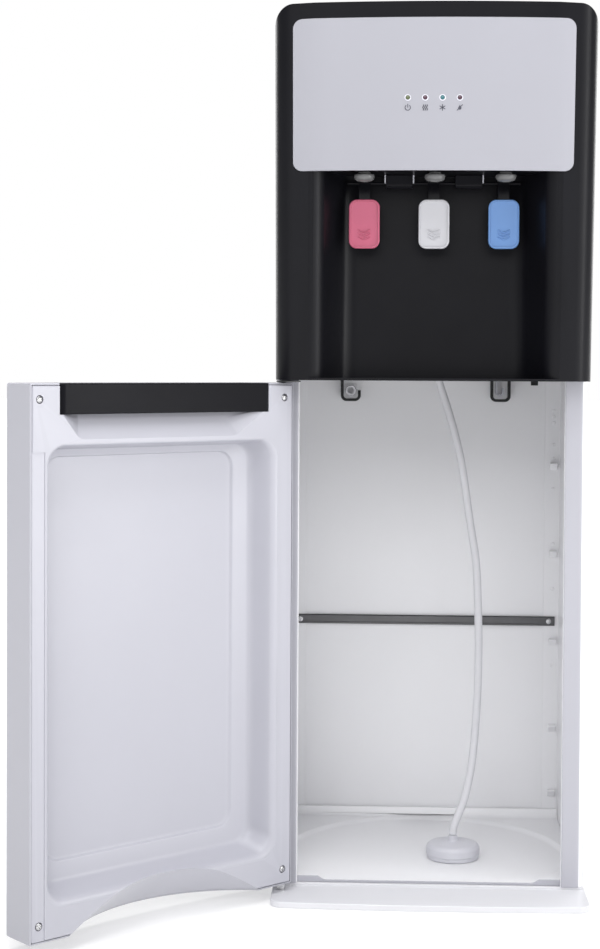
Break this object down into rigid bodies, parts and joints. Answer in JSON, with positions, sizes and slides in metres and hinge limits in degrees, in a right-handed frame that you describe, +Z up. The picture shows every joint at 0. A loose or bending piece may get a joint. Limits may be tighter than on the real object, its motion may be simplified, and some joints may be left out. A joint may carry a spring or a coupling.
{
  "type": "water dispenser",
  "caption": "Floor-standing bottom-loading water dispenser: white cabinet with a hinged door, black head with panel, nozzles and paddle levers, and a suction hose.",
  "frame": {"origin": "middle of the base plate's flat underside, on the floor", "axes": "+Z up, the front with the nozzles and the door faces -Y, +X is to the right seen from the front"},
  "size_m": [0.5782, 0.5342, 0.934],
  "materials": {
    "white_steel": "white powder coat, satin",
    "white_plastic": "white moulded plastic, satin",
    "black_plastic": "black moulded plastic, semi-gloss",
    "black_rubber": "matt black rubber",
    "galvanised": "galvanised sheet",
    "steel": "bare steel",
    "compressor_paint": "black baked enamel",
    "coil_paint": "black painted tube",
    "clear_grey": "translucent grey plastic",
    "red_plastic": "red plastic",
    "blue_plastic": "blue plastic",
    "green_plastic": "green plastic",
    "lens": "clear indicator lens",
    "foam": "insulating foam jacket",
    "hose": "milky silicone hose"
  },
  "bodies": {
    "cabinet": {"back_wall": "white_steel", "base_plate": "white_steel", "cold_tank": "foam", "compressor": "compressor_paint", "condenser_coil": "coil_paint", "condenser_rail_left": "coil_paint", "condenser_rail_right": "coil_paint", "cord_gland": "black_rubber", "cross_bar": "galvanised", "cross_bar_screw_left": "steel", "cross_bar_screw_right": "steel", "deck": "galvanised", "display_panel": "white_plastic", "drain_plug": "white_plastic", "fascia": "black_plastic", "floor_pan": "white_steel", "hinge_leaf": "galvanised", "hinge_pin_lower": "steel", "hinge_pin_upper": "steel", "hose_clip_left": "black_rubber", "hose_clip_right": "black_rubber", "hose_spigot": "clear_grey", "hot_tank": "steel", "indicator_cold": "lens", "indicator_hot": "lens", "indicator_no_water": "lens", "indicator_power": "lens", "lever_shaft": "steel", "nozzle_cold": "clear_grey", "nozzle_hot": "clear_grey", "nozzle_room": "clear_grey", "pivot_boss_left": "black_plastic", "pivot_boss_right": "black_plastic", "pump": "black_plastic", "rear_cover": "white_steel", "side_panel_left": "white_steel", "side_panel_right": "white_steel", "suction_cap": "white_plastic", "suction_hose": "hose", "switch_plate": "black_plastic", "tap_valve_cold": "white_plastic", "tap_valve_hot": "white_plastic", "tap_valve_room": "white_plastic", "top_cover": "white_plastic"},
    "door": {"door_skin": "white_steel", "door_liner": "white_plastic", "door_handle": "black_plastic", "door_screw_hinge_low": "steel", "door_screw_hinge_high": "steel", "door_screw_free_low": "steel", "door_screw_free_high": "steel"},
    "paddle_hot": {"lever_hot": "black_plastic", "paddle_hot": "red_plastic"},
    "paddle_room": {"lever_room": "black_plastic", "paddle_room": "white_plastic"},
    "paddle_cold": {"lever_cold": "black_plastic", "paddle_cold": "blue_plastic"},
    "rocker_hot": {"rocker_hot": "red_plastic"},
    "rocker_cold": {"rocker_cold": "green_plastic"}
  },
  "joints": [
    {"name": "door_hinge", "type": "hinge", "parent": "cabinet", "child": "door", "pos_m": [-0.1575, -0.1229, 0.281], "axis": [0, 0, 1], "range_deg": [-1, 136.4]},
    {"name": "paddle_hot_press", "type": "hinge", "parent": "cabinet", "child": "paddle_hot", "pos_m": [-0.0727, -0.128, 0.7575], "axis": [1, 0, 0], "range_deg": [0, 10], "stiffness_Nm_per_rad": 0.3, "springref_deg": -5.73},
    {"name": "paddle_room_press", "type": "hinge", "parent": "cabinet", "child": "paddle_room", "pos_m": [0, -0.128, 0.7575], "axis": [1, 0, 0], "range_deg": [0, 10], "stiffness_Nm_per_rad": 0.3, "springref_deg": -5.73},
    {"name": "paddle_cold_press", "type": "hinge", "parent": "cabinet", "child": "paddle_cold", "pos_m": [0.0727, -0.128, 0.7575], "axis": [1, 0, 0], "range_deg": [0, 10], "stiffness_Nm_per_rad": 0.3, "springref_deg": -5.73},
    {"name": "rocker_hot_rock", "type": "hinge", "parent": "cabinet", "child": "rocker_hot", "pos_m": [-0.05, 0.1708, 0.605], "axis": [1, 0, 0], "range_deg": [0, 12]},
    {"name": "rocker_cold_rock", "type": "hinge", "parent": "cabinet", "child": "rocker_cold", "pos_m": [-0.02, 0.1708, 0.605], "axis": [1, 0, 0], "range_deg": [0, 12]}
  ]
}
